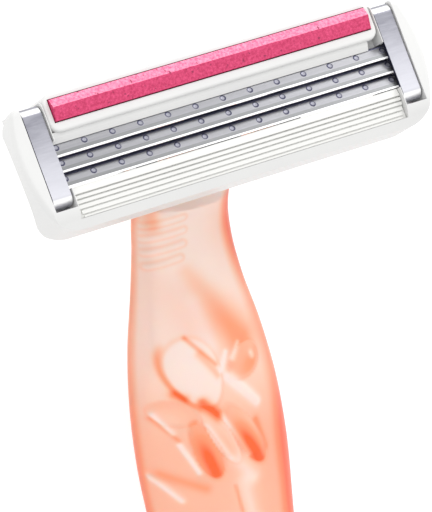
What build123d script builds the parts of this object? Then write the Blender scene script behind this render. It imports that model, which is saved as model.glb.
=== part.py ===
from build123d import *
from math import cos, radians, sin
import os

# A cartridge razor lying on the back of its handle with the blades up.
# Millimetres, +Z up, +X along the blades, +Y from the tail of the handle to the head.
# The origin is under the middle of the razor, on the surface that it lies on.

# ---- where the head and the docking axis stand ----
face_tilt = 25.0            # the shaving face leans this far from level, towards +Y
head_reach = 58.35          # middle cutting edge, from the middle of the razor's length
head_height = 17.7          # middle cutting edge, above the table
dock_tilt = 50.0            # the docking axis rises this far from level
pivot_drop = 5.4            # swivel axis below the cutting edges, square to the face
pivot_shift = -0.3          # swivel axis from the middle edge, along the face

# ---- cartridge, in its own face frame: x along the blades, y towards the strip ----
cap_half_length = 20.75
cap_top = 6.35
cap_bottom = -5.1
cap_crown = 0.5             # end caps stand this far above the cutting edges
frame_crown = 0.45          # and the frame of the strip this far
cap_round = 0.5
box_depth = 3.9             # rear of the moulding, below the cutting edges
box_half_length = 18.95
frame_half_length = 16.9
frame_corner = 1.0
frame_round = 0.3
bar_end_gap = 1.2           # the bar over the first blade stops this far short of the frame's end
step_middle = 5.0           # the step between the end caps, where the frame stands
step_width = 4.4
step_depth = 1.75
frame_bottom = 3.35
frame_top = 6.85
frame_floor = -3.6
strip_half_length = 16.25
strip_bottom = 4.32
strip_top = 6.28
strip_ridge = 5.52
strip_floor = -0.65
strip_edge_height = 0.62
strip_ridge_height = 0.98

# ---- guard, from its lowest fin to the first land below the blades ----
guard_half_length = 16.9
guard_bottom = -4.2
guard_top = -1.46
guard_floor = -2.0
groove_width = 0.14
groove_depth = 0.25
groove_centres = [-2.2, -2.62, -3.04, -3.5, -3.96]
fin_ends = [(-3.27, 0.15), (-3.73, 0.3), (-4.1, 0.4)]   # (middle of the fin, how much shorter it is)
fin_width = 0.46
fin_height = 0.25

# ---- blades, supports and leaf springs ----
blade_pitch = 1.39
blade_half_length = 18.4
blade_slant = 21.0
blade_width = 1.21
blade_thickness = 0.10
bevel_width = 0.50
seat_front = 0.5            # the support starts this far behind the cutting edge
seat_width = 1.38
support_thickness = 0.15
leg_offset = 1.15           # front of the leg, from the cutting edge
leg_top = -0.62
leg_depth = 2.9             # the legs of the blade supports end here
foot_length = 0.45          # and their feet turn towards the strip
ledge_depth = 3.45          # floor of the blade pocket at both ends
pocket_half_length = 18.75
pocket_bottom = -1.5
pocket_top = 2.82
window_half_length = 16.6
leaf_middle = 17.65
leaf_length = 1.9
leaf_width = 0.38
leaf_gauge = 0.13
leaf_post = 0.5             # each leaf is folded over a post at its end
leaf_arm = 1.7

# ---- clips ----
clip_middle = 18.1
clip_width = 1.85
clip_side_gap = 0.15
clip_thickness = 0.3
clip_floor = 0.04           # underside of the clip above the cutting edges
clip_bottom = -2.85
clip_top = 6.25
clip_bend = 0.9
clip_hook = 1.3             # the upper end hooks this far below the cutting edges
clip_foot = 1.4
bed_middle = 2.0            # bed for the clip on the face
bed_length = 10.4
slot_length = 1.35          # slot under the bed for its lower leg
slot_shift = 0.325
notch_length = 2.2          # notch over the top edge for its hook
notch_shift = 0.15

# ---- connector, nose, plunger and slider, in the docking frame ----
journal_radius = 0.9
journal_clearance = 0.05
arm_inner = 4.7
arm_outer = 6.2
arm_radius = 1.05
ear_inner = 6.4
ear_outer = 8.6
ear_radius = 1.75
rib_top = -3.5              # cross ribs behind the window, up to here
rib_middle = 0.6
rib_length = 5.2
middle_rib_width = 4.6
nose_half_width = 3.8
nose_low = -1.5
nose_high = 2.1
nose_tip = -2.0
nose_root = -8.4
neck_face = -4.8            # the neck of the handle ends here
yoke_front = -1.7
yoke_middle = 0.45
yoke_thickness = 5.9
yoke_corner = 1.2
journal_end_gap = 0.15
plunger_side_gap = 0.08     # between the plunger and the walls of its slot
plunger_low = 0.5
plunger_high = 1.5
plunger_half_width = 1.4
stem_low = 2.35
stem_half_width = 1.2
stem_length = 3.4
pad_low = 3.6
pad_high = 4.6
pad_half_width = 2.7
pad_length = 4.2

# ---- handle: middle line and section at each station from head to tail ----
handle_thickness = 10.2
flat_bite = 0.3             # how deep the resting flat cuts into the back

face = Plane(
    origin=(0, head_reach, head_height),
    x_dir=(1, 0, 0),
    z_dir=(0, sin(radians(face_tilt)), cos(radians(face_tilt))),
)
pivot_point = face.from_local_coords((0, pivot_shift, -pivot_drop))
dock = Plane(
    origin=pivot_point,
    x_dir=(1, 0, 0),
    z_dir=(0, cos(radians(dock_tilt)), sin(radians(dock_tilt))),
)
outward = Axis(face.origin, face.z_dir)
sideways = Axis(face.origin, face.x_dir)


def face_section(x):
    """Plane square to the blades at x; its axes are the face's y and its outward normal."""
    return Plane(face.from_local_coords((x, 0, 0)), x_dir=face.y_dir, z_dir=face.x_dir)


def dock_section(x):
    """Plane square to the blades at x; its axes are the rear direction and the docking axis."""
    return Plane(dock.from_local_coords((x, 0, 0)), x_dir=dock.y_dir, z_dir=dock.x_dir)


def save(piece, name):
    piece.part.label = name
    export_step(piece.part, f"parts/{name}.step")


os.makedirs("parts", exist_ok=True)


def across(x_from, x_to, shape, mode=Mode.ADD):
    """Extrudes an outline, given as (y, z) points on the face's section, between two places along x."""
    with BuildSketch(face_section(x_from)) as outline:
        with BuildLine():
            Polyline(*shape, close=True)
        make_face()
    extrude(outline.sketch, amount=x_to - x_from, mode=mode)


def sink(x, y, width, length, top, floor, mode=Mode.SUBTRACT):
    """Cuts or adds a block whose middle is at (x, y) on the face, from one height down to another."""
    with BuildSketch(face.offset(top)) as block:
        with Locations((x, y)):
            Rectangle(width, length)
    extrude(block.sketch, amount=floor - top, mode=mode)


# ---- cartridge housing: end caps, window, strip frame and rear ears ----
above = cap_crown + 0.1     # cuts start this far above the cutting edges
through = -box_depth - 1.0  # and end here if they go right through the moulding
pocket_middle = (pocket_bottom + pocket_top) / 2
pocket_width = pocket_top - pocket_bottom
seat_clearance = 0.05
with BuildPart() as cartridge_housing:
    with BuildSketch(face.offset(-box_depth)) as cap_outline:
        with BuildLine():
            Line((0, cap_bottom), (16.9, cap_bottom))
            ThreePointArc((16.9, cap_bottom), (18.75, -4.5), (19.85, -3.1))
            ThreePointArc((19.85, -3.1), (cap_half_length, 1.6), (19.9, cap_top))
            Line((19.9, cap_top), (0, cap_top))
            mirror(about=Plane.YZ)
        make_face()
        fillet([v for v in cap_outline.vertices() if abs(v.X) > 19.87], radius=0.8)
    extrude(amount=box_depth + cap_crown)

    crown = cartridge_housing.faces().sort_by(outward)[-1]
    fillet(crown.edges(), radius=cap_round)

    # the lower edge rolls over and falls away
    with BuildSketch(face_section(-21.0)):
        with BuildLine():
            ThreePointArc((-2.3, cap_crown), (-3.35, 0.45), (-4.25, 0.03))
            Polyline((-4.25, 0.03), (-5.6, -0.73), (-5.6, 1.0), (-2.3, 1.0), (-2.3, cap_crown))
        make_face()
    extrude(amount=42.0, mode=Mode.SUBTRACT)

    # the side walls are cut back behind: a slope at the top, then a waist for the fingers
    for wall in (-22.0, box_half_length):
        with BuildSketch(face_section(wall)):
            with BuildLine():
                Polyline(
                    (-4.7, -4.2), (-4.7, -6.0), (7.5, -6.0), (7.5, -0.9), (6.5, -0.3), (5.2, -1.7), (4.7, -1.85)
                )
                ThreePointArc((4.7, -1.85), (1.2, -0.8), (-3.5, -3.2))
                Line((-3.5, -3.2), (-4.7, -4.2))
            make_face()
        extrude(amount=22.0 - box_half_length, mode=Mode.SUBTRACT)

    # step between the end caps, and the frame that stands on it for the strip
    sink(0, step_middle, 2 * (frame_half_length + seat_clearance), step_width, above, above - step_depth)
    with BuildSketch(face.offset(frame_floor)):
        with Locations((0, (frame_bottom + frame_top) / 2)):
            RectangleRounded(2 * frame_half_length, frame_top - frame_bottom, frame_corner)
    extrude(amount=frame_crown - frame_floor)
    frame_rim = cartridge_housing.faces().filter_by(outward).group_by(outward)[-2]
    fillet(frame_rim.edges(), radius=frame_round)

    # blade pocket with its end ledges, the window through it for rinsing,
    # and the bar that reaches over the first blade
    sink(0, pocket_middle, 2 * pocket_half_length, pocket_width, above, -ledge_depth)
    sink(0, pocket_middle, 2 * window_half_length, pocket_width, above, through)
    bar = [(pocket_top, -1.2), (pocket_top, -0.42), (2.57, -0.42), (2.57, -0.3), (3.0, -0.06), (3.5, 0.12),
           (3.5, -1.2)]
    across(-frame_half_length, frame_half_length - bar_end_gap, bar)

    # seats of the guard and of the strip
    guard_middle = (guard_bottom + guard_top) / 2
    guard_width = guard_top - guard_bottom + 2 * seat_clearance
    sink(0, guard_middle, 2 * (guard_half_length + seat_clearance), guard_width, above, guard_floor)
    strip_middle = (strip_bottom + strip_top) / 2
    strip_width = strip_top - strip_bottom + 0.2
    sink(0, strip_middle, 2 * (strip_half_length + 0.1), strip_width, above, strip_floor)

    # clip channels: a bed on the face, a slot below it and a notch over the top edge
    channel_width = clip_width + 2 * clip_side_gap
    for side in (-1, 1):
        sink(side * clip_middle, bed_middle, channel_width, bed_length, above, clip_floor)
        sink(side * clip_middle, clip_bottom + slot_shift, channel_width, slot_length, above, through)
        sink(side * clip_middle, clip_top + notch_shift, channel_width, notch_length, above, -clip_hook - 0.1)

    # cross ribs behind the window: the plunger bears on the middle one, the ears stand on the others
    ear_middle = (ear_inner + ear_outer) / 2
    ear_width = ear_outer - ear_inner
    sink(0, rib_middle, middle_rib_width, rib_length, rib_top, -box_depth, Mode.ADD)
    for side in (-1, 1):
        sink(side * ear_middle, rib_middle, ear_width, rib_length, rib_top, -box_depth, Mode.ADD)
        with BuildSketch(face_section(side * ear_middle - ear_width / 2)):
            with Locations((pivot_shift, -pivot_drop)):
                Circle(ear_radius)
            with Locations((pivot_shift, (-pivot_drop + rib_top - 0.1) / 2)):
                Rectangle(2 * ear_radius, rib_top - 0.1 + pivot_drop)
            with Locations((pivot_shift, -pivot_drop)):
                Circle(journal_radius + journal_clearance, mode=Mode.SUBTRACT)
        extrude(amount=ear_width)
save(cartridge_housing, "cartridge_housing")


# ---- guard: one wide land and a row of fins that run out in steps ----
with BuildPart() as guard_bar:
    land = [(guard_bottom, guard_floor), (guard_top, guard_floor), (guard_top, -0.08), (-2.05, 0.02),
            (guard_bottom, -0.12)]
    across(-guard_half_length, guard_half_length, land)
    for centre in groove_centres:
        sink(0, centre, 2 * guard_half_length + 1, groove_width, 0.2, -groove_depth)
    for centre, cut in fin_ends:
        for side in (-1, 1):
            sink(side * (guard_half_length - cut / 2), centre, cut, fin_width, 0.2, -fin_height)
save(guard_bar, "guard_bar")


# ---- lubricating strip: a ridged bar in the frame ----
with BuildPart() as lubricating_strip:
    ridged = [
        (strip_bottom, strip_floor), (strip_top, strip_floor), (strip_top, strip_edge_height),
        (strip_ridge, strip_ridge_height), (strip_bottom, strip_edge_height),
    ]
    across(-strip_half_length, strip_half_length, ridged)
    fillet(lubricating_strip.edges().filter_by(sideways).sort_by(outward)[-1:], radius=0.12)
save(lubricating_strip, "lubricating_strip")


# ---- three blades, each a ground strip welded to a bent support, on two leaf springs ----
slant_cos = cos(radians(blade_slant))
slant_sin = sin(radians(blade_slant))
half_blade = blade_thickness / 2


def on_slant(edge_y, along, under):
    """Point at a distance along the blade from its edge, and under its middle plane."""
    return (edge_y + along * slant_cos - under * slant_sin, -along * slant_sin - under * slant_cos)


for number in (1, 2, 3):
    edge_y = (2 - number) * blade_pitch
    with BuildPart() as blade:
        ground = [
            on_slant(edge_y, 0, 0),
            on_slant(edge_y, bevel_width, -half_blade),
            on_slant(edge_y, blade_width, -half_blade),
            on_slant(edge_y, blade_width, half_blade),
            on_slant(edge_y, bevel_width, half_blade),
        ]
        across(-blade_half_length, blade_half_length, ground)
    save(blade, f"blade_{number}")

    leg_front = edge_y + leg_offset
    leg_back = leg_front + support_thickness
    foot_end = min(leg_back + foot_length, pocket_top - 0.05)
    with BuildPart() as blade_support:
        bent = [
            on_slant(edge_y, seat_front, half_blade),
            on_slant(edge_y, seat_width, half_blade),
            (leg_back, leg_top),
            (leg_back, -leg_depth + support_thickness),
            (foot_end, -leg_depth + support_thickness),
            (foot_end, -leg_depth),
            (leg_front, -leg_depth),
            (leg_front, leg_top - 0.08),
            on_slant(edge_y, seat_front, half_blade + support_thickness),
        ]
        across(-blade_half_length - 0.2, blade_half_length + 0.2, bent)
    save(blade_support, f"blade_support_{number}")

    leaf_y = (leg_front + leg_back) / 2
    with BuildPart() as blade_spring:
        for side in (-1, 1):
            start = side * leaf_middle - leaf_length / 2
            base_top = leaf_gauge - ledge_depth
            sink(side * leaf_middle, leaf_y, leaf_length, leaf_width, base_top, -ledge_depth, Mode.ADD)
            sink(start + leaf_post / 2, leaf_y, leaf_post, leaf_width, -leg_depth, -ledge_depth, Mode.ADD)
            sink(start + leaf_arm / 2, leaf_y, leaf_arm, leaf_width, -leg_depth, -leg_depth - leaf_gauge, Mode.ADD)
    save(blade_spring, f"blade_spring_{number}")


# ---- clips: flat bands that hook over the top edge, cross the face and fold behind the cartridge ----
clip_face = clip_floor + clip_thickness
bend_end = clip_face - clip_bend
clip_rear = -box_depth - 0.05
inner_bend = clip_bend - clip_thickness
for side, name in ((-1, "clip_left"), (1, "clip_right")):
    with BuildPart() as clip:
        with BuildSketch(face_section(side * clip_middle - clip_width / 2)):
            with BuildLine():
                Line((clip_top, -clip_hook), (clip_top, bend_end))
                RadiusArc((clip_top, bend_end), (clip_top - clip_bend, clip_face), -clip_bend)
                Line((clip_top - clip_bend, clip_face), (clip_bottom + clip_bend, clip_face))
                RadiusArc((clip_bottom + clip_bend, clip_face), (clip_bottom, bend_end), -clip_bend)
                Polyline(
                    (clip_bottom, bend_end), (clip_bottom, clip_rear - clip_thickness),
                    (clip_bottom + clip_foot, clip_rear - clip_thickness), (clip_bottom + clip_foot, clip_rear),
                    (clip_bottom + clip_thickness, clip_rear), (clip_bottom + clip_thickness, bend_end),
                )
                RadiusArc(
                    (clip_bottom + clip_thickness, bend_end), (clip_bottom + clip_bend, clip_floor),
                    inner_bend,
                )
                Line((clip_bottom + clip_bend, clip_floor), (clip_top - clip_bend, clip_floor))
                RadiusArc(
                    (clip_top - clip_bend, clip_floor), (clip_top - clip_thickness, bend_end), inner_bend
                )
                Polyline(
                    (clip_top - clip_thickness, bend_end), (clip_top - clip_thickness, -clip_hook),
                    (clip_top, -clip_hook),
                )
            make_face()
        extrude(amount=clip_width)
    save(clip, name)


# ---- connector: yoke with two journals and a socket for the nose ----
socket_gap = 0.06
yoke_rear = neck_face + 0.15
with BuildPart() as cartridge_connector:
    with BuildSketch(dock.offset(yoke_rear)):
        with Locations((0, yoke_middle)):
            RectangleRounded(2 * arm_outer, yoke_thickness, yoke_corner)
    extrude(amount=yoke_front - yoke_rear)
    for side in (-1, 1):
        arm_start = arm_inner if side > 0 else -arm_outer
        with BuildSketch(dock_section(arm_start)):
            Circle(arm_radius)
            with Locations((0, -1.2)):
                Rectangle(2 * arm_radius, 2.4)
        extrude(amount=arm_outer - arm_inner)
        journal_start = arm_outer if side > 0 else -(ear_outer - journal_end_gap)
        with BuildSketch(dock_section(journal_start)):
            Circle(journal_radius)
        extrude(amount=ear_outer - journal_end_gap - arm_outer)
    with BuildSketch(dock.offset(neck_face)):
        with Locations((0, (nose_low + nose_high) / 2)):
            Rectangle(2 * (nose_half_width + socket_gap), nose_high - nose_low + 2 * socket_gap)
    extrude(amount=nose_tip - neck_face + 0.06, mode=Mode.SUBTRACT)
    with BuildSketch(dock.offset(-3.0)):
        with Locations((0, (plunger_low + plunger_high) / 2)):
            Rectangle(2 * plunger_half_width + 0.3, plunger_high - plunger_low + 0.3)
    extrude(amount=2.0, mode=Mode.SUBTRACT)
save(cartridge_connector, "cartridge_connector")


# ---- nose: tang with a slot for the plunger and its spring ----
slot_floor = -7.8
with BuildPart() as handle_nose:
    with BuildSketch(dock.offset(nose_root)):
        with Locations((0, (nose_low + nose_high) / 2)):
            RectangleRounded(2 * nose_half_width, nose_high - nose_low, 0.5)
    extrude(amount=nose_tip - nose_root)
    fillet(handle_nose.faces().sort_by(Axis(dock.origin, dock.z_dir))[-1].edges(), radius=0.35)
    with BuildSketch(dock.offset(slot_floor)):
        with Locations((0, (plunger_low + plunger_high) / 2)):
            Rectangle(2 * (plunger_half_width + plunger_side_gap), plunger_high - plunger_low + 2 * plunger_side_gap)
    extrude(amount=nose_tip - slot_floor + 0.1, mode=Mode.SUBTRACT)
save(handle_nose, "handle_nose")


# ---- plunger and its coil spring ----
plunger_tip = 1.3
plunger_tail = -5.0
with BuildPart() as plunger:
    with BuildSketch(dock_section(-plunger_half_width)):
        with BuildLine():
            Polyline(
                (plunger_low, plunger_tail), (plunger_high, plunger_tail),
                (plunger_high, plunger_tip - 0.3), (plunger_high - 0.3, plunger_tip),
                (plunger_low + 0.3, plunger_tip), (plunger_low, plunger_tip - 0.3),
                (plunger_low, plunger_tail),
            )
        make_face()
    extrude(amount=2 * plunger_half_width)
save(plunger, "plunger")

spring_wire = 0.11
spring_radius = 0.38
spring_length = plunger_tail - slot_floor - 2 * spring_wire - 0.06
spring_middle = (plunger_low + plunger_high) / 2
with BuildPart() as plunger_spring:
    spring_seat = dock.from_local_coords((0, spring_middle, slot_floor + spring_wire + 0.03))
    with BuildLine():
        coil = Helix(spring_length / 5, spring_length, spring_radius, spring_seat, dock.z_dir)
    with BuildSketch(Plane(coil @ 0, x_dir=dock.z_dir, z_dir=coil % 0)):
        Circle(spring_wire)
    sweep(path=coil, is_frenet=True)
save(plunger_spring, "plunger_spring")


# ---- handle: smooth sections along a bent middle line ----
middle_height = handle_thickness / 2 - flat_bite
neck_station = dock.from_local_coords((0, 0.3, neck_face))
# each station: (y, z, slope in degrees, width, thickness)
handle_stations = [
    (neck_station.Y, neck_station.Z, dock_tilt, 9.2, 6.3),
    (head_reach - 7.7, middle_height + 2.35, 40.0, 9.3, 6.4),
    (head_reach - 10.3, middle_height + 0.95, 22.0, 9.5, 6.7),
    (head_reach - 13.4, middle_height + 0.35, 8.0, 9.85, 7.0),
    (head_reach - 17.5, middle_height, 2.0, 11.1, 7.8),
    (head_reach - 22.5, middle_height - 0.05, 0.0, 13.3, 9.0),
    (head_reach - 28.0, middle_height, 0.0, 14.8, 9.9),
    (head_reach - 33.5, middle_height, 0.0, 15.2, handle_thickness),
    (head_reach - 41.0, middle_height, 0.0, 14.3, handle_thickness),
    (head_reach - 54.0, middle_height - 0.2, 0.0, 12.2, 9.8),
    (head_reach - 72.0, middle_height - 0.4, 0.0, 10.9, 9.4),
    (head_reach - 92.0, middle_height - 0.4, 0.0, 10.9, 9.4),
    (head_reach - 108.0, middle_height + 0.1, -2.0, 12.0, 9.2),
    (head_reach - 117.0, middle_height + 0.5, 0.0, 11.8, 8.4),
]
tail_y, tail_height, _, tail_width, tail_thickness = handle_stations[-1]
tail_length = 6.0
for turn in (25, 45, 62, 76, 86):
    handle_stations.append((
        tail_y - tail_length * sin(radians(turn)),
        tail_height,
        0.0,
        tail_width * cos(radians(turn)),
        tail_thickness * cos(radians(turn)),
    ))
with BuildPart() as handle_body:
    for y, z, slope, width, thickness in handle_stations:
        along = (0, cos(radians(slope)), sin(radians(slope)))
        with BuildSketch(Plane((0, y, z), x_dir=(1, 0, 0), z_dir=along)):
            Ellipse(width / 2, thickness / 2)
    loft()
    # flat that the razor lies on
    with BuildSketch(Plane.XY):
        Rectangle(60, 300)
    extrude(amount=-10, mode=Mode.SUBTRACT)
    # socket for the root of the nose
    with BuildSketch(dock.offset(nose_root)):
        with Locations((0, (nose_low + nose_high) / 2)):
            RectangleRounded(2 * nose_half_width, nose_high - nose_low, 0.5)
    extrude(amount=6, mode=Mode.SUBTRACT)
    # groove behind the neck for the stem of the slider
    with BuildSketch(dock.offset(nose_root - 4.0)):
        with Locations((0, stem_low - 0.1)):
            Rectangle(2 * stem_half_width + 0.2, 6.0, align=(Align.CENTER, Align.MIN))
    extrude(amount=8.0, mode=Mode.SUBTRACT)
save(handle_body, "handle_body")


# ---- release slider: a pad behind the neck with a stem that bears on the connector ----
with BuildPart() as release_slider:
    with BuildSketch(dock_section(-stem_half_width)):
        with Locations((stem_low, neck_face + 0.1)):
            Rectangle(pad_low - stem_low + 0.5, stem_length, align=(Align.MIN, Align.MAX))
    extrude(amount=2 * stem_half_width)
    with BuildSketch(dock.offset(neck_face - 0.8)):
        with Locations((0, (pad_low + pad_high) / 2)):
            RectangleRounded(2 * pad_half_width, pad_high - pad_low, 0.45)
    extrude(amount=-pad_length)
    for step in range(4):
        with BuildSketch(dock_section(-pad_half_width - 0.1)):
            with Locations((pad_high, neck_face - 1.5 - 0.8 * step)):
                Circle(0.2)
        extrude(amount=2 * pad_half_width + 0.2, mode=Mode.SUBTRACT)
save(release_slider, "release_slider")
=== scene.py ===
from math import cos, hypot, pi, radians, sin

import bpy
import numpy as np
from mathutils import Matrix, Vector


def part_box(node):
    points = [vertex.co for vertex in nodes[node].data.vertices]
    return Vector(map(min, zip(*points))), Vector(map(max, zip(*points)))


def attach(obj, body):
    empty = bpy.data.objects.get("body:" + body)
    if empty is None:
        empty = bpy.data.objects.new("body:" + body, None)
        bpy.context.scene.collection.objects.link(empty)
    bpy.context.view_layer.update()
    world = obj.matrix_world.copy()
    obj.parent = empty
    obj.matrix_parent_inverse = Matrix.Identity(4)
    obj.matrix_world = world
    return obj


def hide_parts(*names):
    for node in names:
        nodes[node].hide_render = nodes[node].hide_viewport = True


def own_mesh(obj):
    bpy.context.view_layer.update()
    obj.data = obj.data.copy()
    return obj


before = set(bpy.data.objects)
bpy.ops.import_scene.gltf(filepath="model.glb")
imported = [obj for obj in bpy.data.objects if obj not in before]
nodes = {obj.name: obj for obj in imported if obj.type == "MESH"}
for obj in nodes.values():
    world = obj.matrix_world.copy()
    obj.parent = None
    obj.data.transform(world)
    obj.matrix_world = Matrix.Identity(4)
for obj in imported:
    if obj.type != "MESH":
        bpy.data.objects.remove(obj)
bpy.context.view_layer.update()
MM = 0.001

# ---- the face of the cartridge: middle cutting edge, and how far it leans towards +Y ----
FACE_TILT = radians(25.0)
blade_low, blade_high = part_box("blade_2")
FACE_ORIGIN = Vector((0.0, blade_low.y, blade_high.z))
FACE_UP = Vector((0.0, cos(FACE_TILT), -sin(FACE_TILT)))
FACE_OUT = Vector((0.0, sin(FACE_TILT), cos(FACE_TILT)))
SIDE = Vector((1.0, 0.0, 0.0))
BLADE_PITCH = 1.39 * MM
BLADE_SLANT = radians(21.0)


def on_face(x, y, z=0.0):
    """Point in row space from millimetres on the cartridge's face: along, up and out."""
    return FACE_ORIGIN + (SIDE * x + FACE_UP * y + FACE_OUT * z) * MM


# ---- camera ----
CAMERA_AZIMUTH = radians(-57.30)     # from +Y towards +X
CAMERA_ELEVATION = radians(56.93)
CAMERA_ROLL = radians(-8.69)
CAMERA_DISTANCE = 0.334
CAMERA_LENS = 267.3
AIM = Vector((-3.56 * MM, FACE_ORIGIN.y - 11.41 * MM, FACE_ORIGIN.z))


def add_camera():
    away = Vector((
        sin(CAMERA_AZIMUTH) * cos(CAMERA_ELEVATION),
        cos(CAMERA_AZIMUTH) * cos(CAMERA_ELEVATION),
        sin(CAMERA_ELEVATION),
    ))
    level = (-away).cross(Vector((0.0, 1.0, 0.0))).normalized()
    rise = level.cross(-away)
    right = level * cos(CAMERA_ROLL) + rise * sin(CAMERA_ROLL)
    up = rise * cos(CAMERA_ROLL) - level * sin(CAMERA_ROLL)
    data = bpy.data.cameras.new("camera")
    data.lens = CAMERA_LENS
    data.sensor_width = 36.0
    data.clip_start = 0.01
    camera = bpy.data.objects.new("camera", data)
    place = Matrix((right, up, away)).transposed().to_4x4()
    place.translation = AIM + away * CAMERA_DISTANCE
    camera.matrix_world = place
    bpy.context.collection.objects.link(camera)
    bpy.context.scene.camera = camera


# ---- node helpers ----
def new_material(name):
    material = bpy.data.materials.new(name)
    material.use_nodes = True
    tree = material.node_tree
    shader = tree.nodes["Principled BSDF"]
    return material, tree, shader


def add_node(tree, kind, **settings):
    node = tree.nodes.new(kind)
    for key, value in settings.items():
        if key in node.inputs:
            node.inputs[key].default_value = value
        else:
            setattr(node, key, value)
    return node


def object_position(tree, scale=(1.0, 1.0, 1.0), rotation=(0.0, 0.0, 0.0)):
    place = add_node(tree, "ShaderNodeTexCoord")
    mapping = add_node(tree, "ShaderNodeMapping")
    mapping.inputs["Scale"].default_value = scale
    mapping.inputs["Rotation"].default_value = rotation
    tree.links.new(place.outputs["Object"], mapping.inputs["Vector"])
    return mapping.outputs["Vector"]


def noise(tree, vector, scale, detail=3.0, roughness=0.5):
    node = add_node(tree, "ShaderNodeTexNoise")
    node.inputs["Scale"].default_value = scale
    node.inputs["Detail"].default_value = detail
    node.inputs["Roughness"].default_value = roughness
    tree.links.new(vector, node.inputs["Vector"])
    return node.outputs["Fac"]


def ramp(tree, value, stops):
    node = add_node(tree, "ShaderNodeValToRGB")
    elements = node.color_ramp.elements
    while len(elements) < len(stops):
        elements.new(0.5)
    for element, (place, colour) in zip(elements, stops):
        element.position = place
        element.color = (*colour, 1.0) if len(colour) == 3 else colour
    tree.links.new(value, node.inputs["Fac"])
    return node.outputs["Color"]


def span(tree, value, low, high):
    """Maps a 0 to 1 value onto low to high."""
    node = add_node(tree, "ShaderNodeMapRange")
    node.inputs["To Min"].default_value = low
    node.inputs["To Max"].default_value = high
    tree.links.new(value, node.inputs["Value"])
    return node.outputs["Result"]


def bump(tree, shader, height, strength, distance):
    node = add_node(tree, "ShaderNodeBump")
    node.inputs["Strength"].default_value = strength
    node.inputs["Distance"].default_value = distance
    tree.links.new(height, node.inputs["Height"])
    tree.links.new(node.outputs["Normal"], shader.inputs["Normal"])


# ---- materials ----
def moulded_plastic(name, light, dark, low_gloss=0.30, high_gloss=0.42):
    """Satin moulded plastic: faint flow marks in colour and gloss, fine grain in height."""
    material, tree, shader = new_material(name)
    place = object_position(tree)
    flow = noise(tree, place, 140.0, 4.0)
    grain = noise(tree, place, 5200.0, 2.0)
    tree.links.new(ramp(tree, flow, [(0.3, dark), (0.7, light)]), shader.inputs["Base Color"])
    tree.links.new(span(tree, flow, low_gloss, high_gloss), shader.inputs["Roughness"])
    shader.inputs["IOR"].default_value = 1.5
    bump(tree, shader, grain, 0.12, 0.00002)
    return material


def mixed(tree, factor, first, second):
    """Colour that goes from first to second; each is a colour or a socket."""
    node = add_node(tree, "ShaderNodeMix", data_type="RGBA")
    tree.links.new(factor, node.inputs["Factor"])
    for key, colour in (("A", first), ("B", second)):
        socket = [entry for entry in node.inputs if entry.name == key and entry.type == "RGBA"][0]
        if isinstance(colour, tuple):
            socket.default_value = (*colour, 1.0)
        else:
            tree.links.new(colour, socket)
    return [entry for entry in node.outputs if entry.type == "RGBA"][0]


def calculate(tree, operation, first, second):
    node = add_node(tree, "ShaderNodeMath", operation=operation)
    for socket, value in zip(node.inputs, (first, second)):
        if isinstance(value, (int, float)):
            socket.default_value = value
        else:
            tree.links.new(value, socket)
    return node.outputs["Value"]


def along(tree, vector, direction):
    """How far a vector reaches along a direction."""
    node = add_node(tree, "ShaderNodeVectorMath", operation="DOT_PRODUCT")
    tree.links.new(vector, node.inputs[0])
    node.inputs[1].default_value = tuple(direction)
    return node.outputs["Value"]


def surface_normal(tree):
    return add_node(tree, "ShaderNodeNewGeometry").outputs["Normal"]


def face_height(tree):
    """Distance from the middle cutting edge up the cartridge's face, in blade pitches."""
    reach = along(tree, add_node(tree, "ShaderNodeTexCoord").outputs["Object"], FACE_UP)
    past_middle = calculate(tree, "SUBTRACT", reach, FACE_ORIGIN.dot(FACE_UP))
    return calculate(tree, "DIVIDE", past_middle, BLADE_PITCH)


def speckled_strip():
    """Waxy pink bar: painted sheen and light make the upward facet paler, with fine pale grain and sparse
    dark flecks.
    """
    material, tree, shader = new_material("speckled_strip")
    place = object_position(tree)
    tone = noise(tree, place, 4200.0, 4.0, 0.7)
    fleck = noise(tree, place, 1900.0, 3.0, 0.6)
    deep = ramp(tree, tone, [(0.36, (0.46, 0.014, 0.085)), (0.66, (0.70, 0.06, 0.18))])
    # painted sheen and light: the pale pink goes where the surface faces up the face, the deep pink elsewhere
    pale = ramp(tree, tone, [(0.36, (0.80, 0.09, 0.23)), (0.64, (0.97, 0.33, 0.48))])
    upper = ramp(tree, along(tree, surface_normal(tree), FACE_UP), [(0.02, (0.0,) * 3), (0.10, (1.0,) * 3)])
    spots = ramp(tree, fleck, [(0.32, (1.0,) * 3), (0.37, (0.0,) * 3)])
    colour = mixed(tree, spots, mixed(tree, upper, deep, pale), (0.26, 0.01, 0.06))
    tree.links.new(colour, shader.inputs["Base Color"])
    tree.links.new(span(tree, fleck, 0.45, 0.62), shader.inputs["Roughness"])
    bump(tree, shader, tone, 0.30, 0.00004)
    return material


def brushed_metal(name, light, dark, stretch, low_gloss, high_gloss, grain=0.15):
    """Metal with fine brush lines; stretch is the scale of the grain on each axis."""
    material, tree, shader = new_material(name)
    place = object_position(tree, scale=stretch)
    lines = noise(tree, place, 900.0, 4.0, 0.7)
    tree.links.new(ramp(tree, lines, [(0.25, dark), (0.75, light)]), shader.inputs["Base Color"])
    tree.links.new(span(tree, lines, low_gloss, high_gloss), shader.inputs["Roughness"])
    shader.inputs["Metallic"].default_value = 1.0
    bump(tree, shader, lines, grain, 0.00002)
    return material


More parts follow.
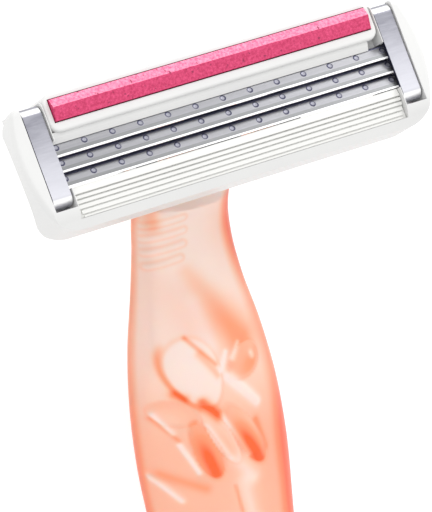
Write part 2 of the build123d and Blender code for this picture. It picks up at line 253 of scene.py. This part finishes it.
def clip_aluminium():
    """Soft aluminium band with brush lines across it, painted shade that darkens it towards the top, painted
    highlights on both bends and painted shade on its side edges.
    """
    material, tree, shader = new_material("clip_aluminium")
    lines = noise(tree, object_position(tree, scale=(0.12, 1.0, 1.0)), 2600.0, 5.0, 0.75)
    clouds = noise(tree, object_position(tree), 260.0, 3.0)
    # painted shade: the band darkens from its lower end towards the top
    reach = calculate(tree, "ADD", calculate(tree, "MULTIPLY", face_height(tree), 0.16), 0.32)
    shaded_along_clip = ramp(tree, reach, [
        (0.05, (0.68, 0.68, 0.73)), (0.45, (0.51, 0.51, 0.56)), (0.85, (0.19, 0.19, 0.23)),
    ])
    brushed_and_shaded = mixed(tree, span(tree, lines, -0.15, 0.45), shaded_along_clip, (0.80, 0.80, 0.86))
    # painted highlight: white where the surface turns over either bend
    turned = along(tree, surface_normal(tree), FACE_UP)
    bend_highlight = ramp(tree, calculate(tree, "ABSOLUTE", turned, 0.0), [
        (0.12, (0.0,) * 3), (0.30, (1.0,) * 3), (0.62, (1.0,) * 3), (0.80, (0.0,) * 3),
    ])
    clouded = mixed(tree, span(tree, clouds, -0.2, 0.3), brushed_and_shaded, (0.70, 0.70, 0.76))
    with_bend_highlight = mixed(tree, bend_highlight, clouded, (1.0, 1.0, 1.0))
    # painted shade: near black on the side edges
    side = calculate(tree, "ABSOLUTE", along(tree, surface_normal(tree), SIDE), 0.0)
    side_shade = ramp(tree, side, [(0.55, (0.0,) * 3), (0.75, (1.0,) * 3)])
    tree.links.new(mixed(tree, side_shade, with_bend_highlight, (0.035, 0.035, 0.07)), shader.inputs["Base Color"])
    tree.links.new(span(tree, lines, 0.34, 0.46), shader.inputs["Roughness"])
    shader.inputs["Metallic"].default_value = 1.0
    bump(tree, shader, lines, 0.22, 0.00002)
    return material


def ground_blade():
    """Ground strip: a painted highlight in white along the cutting edge, a darker ground bevel and a pale
    upper band.
    """
    material, tree, shader = new_material("ground_blade")
    lines = noise(tree, object_position(tree, scale=(0.04, 1.0, 1.0)), 2600.0, 4.0, 0.7)
    height = calculate(tree, "FRACT", calculate(tree, "ADD", face_height(tree), 4.001), 0.0)
    # painted highlight: the band next to the cutting edge is white
    bands = ramp(tree, height, [
        (0.0, (1.0, 1.0, 1.0)), (0.12, (1.0, 1.0, 1.0)), (0.14, (0.22, 0.225, 0.23)),
        (0.34, (0.24, 0.245, 0.25)), (0.37, (0.33, 0.33, 0.35)), (0.86, (0.37, 0.37, 0.39)),
    ])
    streaks = ramp(tree, lines, [(0.3, (0.86,) * 3), (0.7, (1.0,) * 3)])
    tint = add_node(tree, "ShaderNodeMix", data_type="RGBA", blend_type="MULTIPLY")
    sockets = [entry for entry in tint.inputs if entry.type == "RGBA"]
    tint.inputs["Factor"].default_value = 1.0
    tree.links.new(bands, sockets[0])
    tree.links.new(streaks, sockets[1])
    tree.links.new([entry for entry in tint.outputs if entry.type == "RGBA"][0], shader.inputs["Base Color"])
    # painted highlight: the cutting edge is barely metallic, so its white colour shows bright
    edge_highlight = ramp(tree, height, [(0.12, (0.15,) * 3), (0.15, (1.0,) * 3)])
    tree.links.new(edge_highlight, shader.inputs["Metallic"])
    tree.links.new(span(tree, lines, 0.30, 0.42), shader.inputs["Roughness"])
    bump(tree, shader, lines, 0.10, 0.00001)
    return material


def weld_steel():
    """Weld spot: painted shade in a dark ring round a grey middle, from the tone painted on the mesh."""
    material, tree, shader = new_material("weld_steel")
    tone = add_node(tree, "ShaderNodeAttribute", attribute_name="tone").outputs["Fac"]
    grain = noise(tree, object_position(tree), 4000.0, 3.0)
    # painted shade: a high tone gives the dark ring round the crater
    colour = ramp(tree, tone, [
        (0.0, (0.24, 0.24, 0.28)), (0.45, (0.34, 0.34, 0.39)), (1.0, (0.04, 0.04, 0.08)),
    ])
    tree.links.new(colour, shader.inputs["Base Color"])
    tree.links.new(span(tree, grain, 0.30, 0.50), shader.inputs["Roughness"])
    shader.inputs["Metallic"].default_value = 0.8
    bump(tree, shader, grain, 0.15, 0.00001)
    return material


def coral_plastic(name, painted):
    """Translucent coral plastic; its tint deepens with a depth value, which on the handle is painted onto the
    mesh as painted light and shade for light going further through the plastic and bent by its relief, and
    which varies at random on other parts.
    """
    material, tree, shader = new_material(name)
    flow = noise(tree, object_position(tree), 130.0, 3.0)
    if painted:
        # the handle's depth attribute carries its painted light and shade
        depth = add_node(tree, "ShaderNodeAttribute", attribute_name="depth").outputs["Fac"]
    else:
        depth = span(tree, flow, 0.20, 0.32)
    varied = calculate(tree, "ADD", depth, span(tree, flow, -0.03, 0.03))
    colour = ramp(tree, varied, [
        (0.0, (1.0, 0.94, 0.90)), (0.25, (1.0, 0.68, 0.53)),
        (0.55, (1.0, 0.38, 0.19)), (1.0, (1.0, 0.11, 0.01)),
    ])
    tree.links.new(colour, shader.inputs["Base Color"])
    tree.links.new(span(tree, flow, 0.29, 0.35), shader.inputs["Roughness"])
    shader.inputs["Transmission Weight"].default_value = 0.5
    shader.inputs["IOR"].default_value = 1.45
    shader.inputs["Subsurface Weight"].default_value = 0.4
    shader.inputs["Subsurface Radius"].default_value = (1.0, 0.5, 0.3)
    shader.inputs["Subsurface Scale"].default_value = 0.002
    return material


def dress(name, material):
    """Gives a CAD node its material."""
    slots = nodes[name].data.materials
    slots.clear()
    slots.append(material)


def add_mesh(name, verts, faces, material, smooth=True):
    mesh = bpy.data.meshes.new(name)
    mesh.from_pydata([tuple(v) for v in verts], [], faces)
    mesh.validate()
    piece = bpy.data.objects.new(name, mesh)
    bpy.context.collection.objects.link(piece)
    mesh.materials.append(material)
    for polygon in mesh.polygons:
        polygon.use_smooth = smooth
    return piece


# ---- handle ----
def smooth_step(value, low, high):
    share = np.clip((value - low) / (high - low), 0.0, 1.0)
    return share * share * (3.0 - 2.0 * share)


def bell(distance, width):
    return np.exp(-(distance / width) ** 2)


def to_line(x, y, start, end):
    """Distance of each point from a line between two points, and the share of the way along it."""
    run = np.subtract(end, start)
    share = np.clip(((x - start[0]) * run[0] + (y - start[1]) * run[1]) / run.dot(run), 0.0, 1.0)
    return np.hypot(x - start[0] - share * run[0], y - start[1] - share * run[1]), share


def in_petal(x, y, base, tip, half_width):
    """0 in the middle of a petal that reaches from base to tip, 1 on its outline."""
    middle = np.add(base, tip) / 2.0
    run = np.subtract(tip, base)
    length = hypot(*run)
    forward = ((x - middle[0]) * run[0] + (y - middle[1]) * run[1]) / length
    across = ((x - middle[0]) * run[1] - (y - middle[1]) * run[0]) / length
    taper = 1.0 + 0.35 * forward / length
    return (
        np.hypot(forward / (length / 2.0), across / (half_width * taper)),
        across / half_width,
        forward / length,
    )


# each petal: base, tip, half width, tint of its fill, tint of its core, and where the core lies across it;
# these tints are painted light and shade for light bent by the clear relief
PETALS = [
    ((0.2, -25.9), (4.2, -24.0), 1.55, 0.42, 0.20, 0.3),
    ((-3.4, -28.9), (-6.9, -27.3), 1.15, 0.34, -0.10, -0.3),
    ((-3.9, -28.9), (-2.2, -34.9), 1.20, 0.46, 0.66, 0.15),
    ((-0.5, -28.2), (2.7, -34.7), 1.30, 0.38, 0.75, 0.30),
    ((-2.9, -27.9), (-0.2, -33.8), 0.95, 0.20, 0.12, 0.0),
    ((-1.6, -28.0), (-3.8, -21.3), 2.30, 0.03, -0.02, 0.0),
]
# each streak: start, end, width, how far it stands up, how much deeper its tint is, which is painted shade
# above zero and a painted highlight below zero
STREAKS = [
    ((-6.6, -27.9), (-5.6, -29.8), 0.26, 0.14, -0.30),
    ((-6.9, -28.3), (-5.2, -30.6), 0.22, 0.0, 0.24),
    ((-5.2, -31.0), (-4.0, -33.9), 0.26, 0.10, -0.42),
    ((-2.7, -29.6), (-1.0, -33.2), 0.26, 0.08, -0.16),
    ((-1.1, -29.0), (0.9, -33.4), 0.26, 0.10, -0.36),
    ((-0.4, -33.6), (1.0, -35.7), 0.75, 0.22, -0.22),
    ((-0.1, -35.9), (0.3, -40.0), 0.80, 0.22, -0.20),
    ((-0.9, -36.0), (-0.6, -38.6), 0.16, 0.0, 0.26),
    ((0.3, -25.7), (2.8, -28.9), 0.52, 0.12, -0.40),
    ((1.0, -24.2), (2.0, -23.0), 0.24, 0.0, -0.38),
    ((3.0, -24.3), (3.1, -24.6), 0.30, 0.0, -0.34),
    ((-0.4, -25.0), (0.5, -23.4), 0.26, 0.06, -0.30),
    ((-2.7, -27.4), (-1.5, -28.9), 0.50, -0.06, 0.86),
    ((-4.9, -26.2), (-4.1, -26.7), 0.42, 0.0, 0.52),
    ((-3.1, -21.2), (-0.8, -24.2), 0.22, 0.0, 0.42),
    ((-2.2, -22.9), (-0.8, -25.2), 0.36, 0.0, 0.30),
    ((2.4, -30.6), (3.0, -33.4), 0.42, 0.0, 0.30),
    ((-7.5, -33.9), (-5.7, -36.4), 0.28, 0.14, -0.34),
    ((-6.9, -33.7), (-3.6, -35.6), 0.50, 0.0, 0.20),
]
RIBS = [(-9.9, -1.7), (-11.2, -1.6), (-12.5, -1.7), (-13.8, -2.1)]     # (place along the neck, right end)


def relief(x, y):
    """Height of the raised pattern above the handle's skin, its tint, how far that covers, and painted light
    and shade laid over it.
    """
    height = np.zeros_like(x)
    tint = np.zeros_like(x)
    cover = np.zeros_like(x)
    painted_light_and_shade = np.zeros_like(x)
    for base, tip, half_width, fill, core, core_side in PETALS:
        ring, across, forward = in_petal(x, y, base, tip, half_width)
        share = 1.0 - smooth_step(ring, 0.90, 1.06)
        height = np.maximum(height, 0.34 * smooth_step(1.06 - ring, 0.0, 0.55))
        shade = fill + core * bell(across - core_side, 0.55) * smooth_step(forward, -0.40, 0.15)
        tint = tint * (1.0 - share) + shade * share
        cover = np.maximum(cover, share)
        # painted shade along each petal's outline
        painted_light_and_shade = painted_light_and_shade + 0.12 * bell(ring - 1.0, 0.07)
    # painted shade along one side of the last petal's rim
    rim, rim_across, _ = in_petal(x, y, *PETALS[-1][:3])
    painted_light_and_shade = painted_light_and_shade + 0.42 * bell(rim - 1.10, 0.10) * smooth_step(-rim_across, 0.35, 0.95)
    for start, end, width, rise, shade in STREAKS:
        distance, _ = to_line(x, y, start, end)
        height = height + rise * bell(distance, width)
        painted_light_and_shade = painted_light_and_shade + shade * bell(distance, width)
    for place, right_end in RIBS:
        distance, _ = to_line(x, y, (-4.6, place - 0.5), (right_end, place))
        height = height + 0.10 * bell(distance, 0.28)
        # painted shade in a band beside each rib
        painted_light_and_shade = painted_light_and_shade + 0.13 * bell(distance - 0.34, 0.15)
    return height, tint, cover, painted_light_and_shade


RIM_FULL = 0.92                  # share of the half width where the right edge's tint is at its deepest


def skin_tint(x, y, lateral, vertical):
    """How deep the tint is painted in the plain skin: pale in the middle, deep along both sides as painted
    light for longer paths through the plastic, with painted shade along a diagonal and on the neck and a
    painted gleam.
    """
    toward_tail = smooth_step(-y, 21.0, 33.0)
    depth = 1.25 - 0.75 * smooth_step(-y, 12.0, 20.0) + 0.60 * smooth_step(-y, 27.0, 35.0)
    inner_edge = 0.42 + 0.14 * smooth_step(-y, 12.0, 20.0) - 0.08 * smooth_step(-y, 27.0, 35.0)
    # painted light: the tint deepens towards both sides
    right = depth * smooth_step((lateral - inner_edge) / (RIM_FULL - inner_edge), 0.0, 1.0)
    left = (0.52 + 0.05 * toward_tail) * smooth_step(-0.90 * lateral - 0.43 * vertical, 0.78, 1.0)
    distance, share = to_line(x, y, (-1.7, -15.3), (2.4, -22.8))
    shade = 0.54 * bell(distance, 0.8 + 1.1 * share) * (0.30 + 0.70 * share)
    gleam, _ = to_line(x, y, (-1.4, -18.2), (-0.8, -22.4))
    neck_shade, _ = to_line(x, y, (-4.3, -7.6), (-4.0, -10.6))
    return (
        0.09 + 0.25 * toward_tail + right + left + shade
        - 0.10 * bell(gleam, 0.9) + 0.30 * bell(neck_shade, 0.5)
    )


PIVOT = (-2.554, -4.767)         # swivel axis from the middle edge: towards +Y and up, millimetres
NECK_TILT = radians(50.0)
NECK = (
    PIVOT[0] + 0.3 * sin(NECK_TILT) - 4.8 * cos(NECK_TILT),
    PIVOT[1] - 0.3 * cos(NECK_TILT) - 4.8 * sin(NECK_TILT),
)
MIDDLE_HEIGHT = 4.8
# each station: (y from the middle edge, height from the middle line, slope in degrees, width, thickness)
STATIONS = [
    (NECK[0], FACE_ORIGIN.z / MM + NECK[1] - MIDDLE_HEIGHT, 50.0, 9.2, 6.3),
    (-7.7, 2.35, 40.0, 9.3, 6.4),
    (-10.3, 0.95, 22.0, 9.5, 6.7),
    (-13.4, 0.35, 8.0, 9.85, 7.0),
    (-17.5, 0.0, 2.0, 11.1, 7.8),
    (-22.5, -0.05, 0.0, 13.3, 9.0),
    (-28.0, 0.0, 0.0, 14.8, 9.9),
    (-33.5, 0.0, 0.0, 15.2, 10.2),
    (-41.0, 0.0, 0.0, 14.3, 10.2),
    (-54.0, -0.2, 0.0, 12.2, 9.8),
    (-72.0, -0.4, 0.0, 10.9, 9.4),
    (-92.0, -0.4, 0.0, 10.9, 9.4),
    (-108.0, 0.1, -2.0, 12.0, 9.2),
    (-117.0, 0.5, 0.0, 11.8, 8.4),
]
TAIL_LENGTH = 6.0


def smooth_run(places, knots, values):
    """Values between stations on a smooth curve through them."""
    slopes = np.gradient(values, knots)
    span_at = np.clip(np.searchsorted(knots, places) - 1, 0, len(knots) - 2)
    width = knots[span_at + 1] - knots[span_at]
    t = (places - knots[span_at]) / width
    first, second = values[span_at], values[span_at + 1]
    lead, trail = slopes[span_at] * width, slopes[span_at + 1] * width
    return (
        first * (1 + 2 * t) * (1 - t) ** 2 + lead * t * (1 - t) ** 2
        + second * t * t * (3 - 2 * t) + trail * t * t * (t - 1)
    )


def add_handle(material):
    """Handle of smooth rings with the blossom and the ribs raised on its upper side."""
    table = np.array(STATIONS)[::-1]
    knots = table[:, 0]
    fine = np.arange(-42.0, NECK[0], 0.16)
    coarse = np.arange(knots[0], -42.0, 0.9)
    places = np.concatenate([coarse, fine, [NECK[0]]])
    heights, slopes, widths, thicknesses = (
        smooth_run(places, knots, table[:, column]) for column in range(1, 5)
    )
    turns = np.radians(np.array([88, 84, 78, 71, 63, 54, 44, 33, 22, 11]))
    tail = knots[0] - TAIL_LENGTH * np.sin(turns)
    places = np.concatenate([tail, places])
    heights = np.concatenate([np.full(len(turns), heights[0]), heights])
    slopes = np.radians(np.concatenate([np.zeros(len(turns)), slopes]))
    widths = np.concatenate([widths[0] * np.cos(turns), widths])
    thicknesses = np.concatenate([thicknesses[0] * np.cos(turns), thicknesses])

    count = 240
    angle = np.linspace(0.0, 2.0 * pi, count, endpoint=False)
    across, rise = np.cos(angle), np.sin(angle)
    half_width, half_thickness = widths[:, None] / 2, thicknesses[:, None] / 2
    normal_x = across / half_width
    normal_z = rise / half_thickness
    size = np.hypot(normal_x, normal_z)
    normal_x, normal_z = normal_x / size, normal_z / size
    x = across * half_width
    up = rise * half_thickness
    y_top = places[:, None] - up * np.sin(slopes)[:, None]
    raised, petal_tint, cover, painted_light_and_shade = relief(x, y_top)
    upper = smooth_step(normal_z, 0.05, 0.35)
    raised = raised * upper
    x = x + normal_x * raised
    up = up + normal_z * raised
    y = places[:, None] - up * np.sin(slopes)[:, None]
    z = MIDDLE_HEIGHT + heights[:, None] + up * np.cos(slopes)[:, None]
    z = np.maximum(z, 0.0)
    plain = skin_tint(x, y, across * np.ones_like(x), rise * np.ones_like(x))
    cover = cover * upper
    tint = plain + (petal_tint - plain) * cover + painted_light_and_shade * upper

    verts = np.stack([x, y, z], axis=-1).reshape(-1, 3) * MM
    verts[:, 1] += FACE_ORIGIN.y
    rings = len(places)
    faces = []
    for ring in range(rings - 1):
        for step in range(count):
            following = (step + 1) % count
            low, high = ring * count, (ring + 1) * count
            faces.append((low + step, high + step, high + following, low + following))
    faces.append(tuple(range(count)))
    faces.append(tuple(reversed(range((rings - 1) * count, rings * count))))
    piece = add_mesh("handle", verts, faces, material)
    # depth: the handle's tint with its painted light and shade
    layer = piece.data.attributes.new("depth", "FLOAT", "POINT")
    layer.data.foreach_set("value", np.clip(tint, 0.0, 1.0).reshape(-1).astype(np.float32))
    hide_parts("handle_body")
    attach(piece, "grip")
    return piece


# ---- weld spots ----
SPOT_PITCH = 2.815
SPOT_RADIUS = 0.31
SPOT_REACH = 0.90                # from the cutting edge, along the blade
HALF_BLADE = 0.05
SPOT_SHIFTS = (0.15, 0.17, -0.03)


def add_weld_spots(number, shift, material):
    """Thirteen shallow weld craters along one blade."""
    slope = Vector((0.0, cos(BLADE_SLANT + FACE_TILT), -sin(BLADE_SLANT + FACE_TILT)))
    lift = Vector((0.0, sin(BLADE_SLANT + FACE_TILT), cos(BLADE_SLANT + FACE_TILT)))
    edge = on_face(0.0, (2 - number) * BLADE_PITCH / MM)
    # each ring: share of the radius, height and tone; a high tone is painted shade, darkest at the crater's
    # rim
    profile = [
        (0.0, 0.004, 0.15), (0.35, 0.004, 0.45), (0.62, 0.008, 0.75), (0.78, 0.022, 1.0), (0.90, 0.018, 0.95),
        (1.0, 0.001, 0.55),
    ]
    sides = 28
    verts, faces, shade_tones = [], [], []
    for spot in range(-6, 7):
        middle = (
            edge + SIDE * (spot * SPOT_PITCH + shift) * MM
            + slope * SPOT_REACH * MM + lift * HALF_BLADE * MM
        )
        start = len(verts)
        for share, height, tone in profile:
            for step in range(sides):
                turn = 2.0 * pi * step / sides
                reach = share * SPOT_RADIUS * MM
                verts.append(
                    middle + SIDE * cos(turn) * reach + slope * sin(turn) * reach + lift * height * MM
                )
                shade_tones.append(min(1.0, max(0.0, tone + 0.12 * cos(turn + 0.8 * spot))))
        for level in range(len(profile) - 1):
            for step in range(sides):
                low, high = start + level * sides, start + (level + 1) * sides
                following = (step + 1) % sides
                faces.append((low + step, high + step, high + following, low + following))
    piece = add_mesh(f"weld_spots_{number}", verts, faces, material)
    layer = piece.data.attributes.new("tone", "FLOAT", "POINT")
    layer.data.foreach_set("value", shade_tones)
    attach(piece, f"blade_unit_{number}")
    return piece


def add_spring(node, body, material):
    """Spring in the shape of its CAD solid: a copy of its mesh with the given material, set on the given body
    in place of the CAD node.
    """
    source = nodes[node]
    piece = bpy.data.objects.new(f"{node}_flexing", source.data.copy())
    piece.matrix_world = source.matrix_world.copy()
    bpy.context.collection.objects.link(piece)
    piece.data.materials.clear()
    piece.data.materials.append(material)
    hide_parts(node)
    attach(piece, body)
    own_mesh(piece)


moulded_white = moulded_plastic("moulded_white", (0.69, 0.69, 0.68), (0.66, 0.66, 0.655))
guard_white = moulded_plastic("guard_white", (0.74, 0.74, 0.72), (0.71, 0.71, 0.69))
mechanism_white = moulded_plastic("mechanism_white", (0.82, 0.82, 0.81), (0.76, 0.76, 0.75), 0.35, 0.5)
strip_pink = speckled_strip()
blade_steel = ground_blade()
spot_steel = weld_steel()
# the supports' steel, darkened and blued as painted shade for the gaps between the blades
support_steel = brushed_metal(
    "support_steel", (0.26, 0.26, 0.38), (0.16, 0.16, 0.26), (0.05, 1.0, 1.0), 0.45, 0.6,
)
spring_steel = brushed_metal("spring_steel", (0.6, 0.6, 0.62), (0.5, 0.5, 0.52), (1.0, 1.0, 0.1), 0.25, 0.35)
clip_metal = clip_aluminium()
coral = coral_plastic("coral_plastic", painted=True)
coral_part = coral_plastic("coral_part", painted=False)

dress("cartridge_housing", moulded_white)
dress("guard_bar", guard_white)
dress("lubricating_strip", strip_pink)
for number, shift in zip((1, 2, 3), SPOT_SHIFTS):
    dress(f"blade_{number}", blade_steel)
    dress(f"blade_support_{number}", support_steel)
    dress(f"blade_spring_{number}", mechanism_white)
    add_spring(
        f"blade_spring_{number}", "cartridge",
        mechanism_white,
    )
    add_weld_spots(number, shift, spot_steel)
for name in ("clip_left", "clip_right"):
    dress(name, clip_metal)
for name in ("cartridge_connector", "handle_nose", "release_slider"):
    dress(name, coral_part)
dress("plunger", mechanism_white)
dress("plunger_spring", spring_steel)
add_spring(
    "plunger_spring", "grip",
    spring_steel,
)
add_handle(coral)


# ---- floor and light ----
def add_floor():
    """Pale floor that glows a little, like a lit sweep."""
    material, _, shader = new_material("floor")
    shader.inputs["Base Color"].default_value = (0.3, 0.3, 0.3, 1.0)
    shader.inputs["Roughness"].default_value = 0.9
    shader.inputs["Emission Color"].default_value = (1.0, 1.0, 1.0, 1.0)
    shader.inputs["Emission Strength"].default_value = 0.85
    half = 1.5
    corners = [(-half, -half, 0.0), (half, -half, 0.0), (half, half, 0.0), (-half, half, 0.0)]
    floor = add_mesh("floor", corners, [(0, 1, 2, 3)], material, smooth=False)
    floor.location.z = -0.0002


def add_softbox(name, place, size, power):
    data = bpy.data.lights.new(name, "AREA")
    data.shape = "RECTANGLE"
    data.size = size
    data.size_y = size
    data.energy = power
    lamp = bpy.data.objects.new(name, data)
    lamp.location = place
    aim = FACE_ORIGIN - Vector((0.0, 0.02, 0.0))
    lamp.rotation_euler = (aim - Vector(place)).to_track_quat("-Z", "Y").to_euler()
    bpy.context.collection.objects.link(lamp)


def add_world(strength):
    world = bpy.data.worlds.new("studio")
    world.use_nodes = True
    background = world.node_tree.nodes["Background"]
    background.inputs["Color"].default_value = (1.0, 1.0, 1.0, 1.0)
    background.inputs["Strength"].default_value = strength
    bpy.context.scene.world = world


add_camera()
add_floor()
add_world(1.10)
add_softbox("key_light", (-0.10, 0.50, 0.30), 0.30, 0.50)
add_softbox("blade_panel", (0.34, 0.37, 0.14), 0.18, 0.60)
bpy.context.scene.view_settings.view_transform = "Standard"
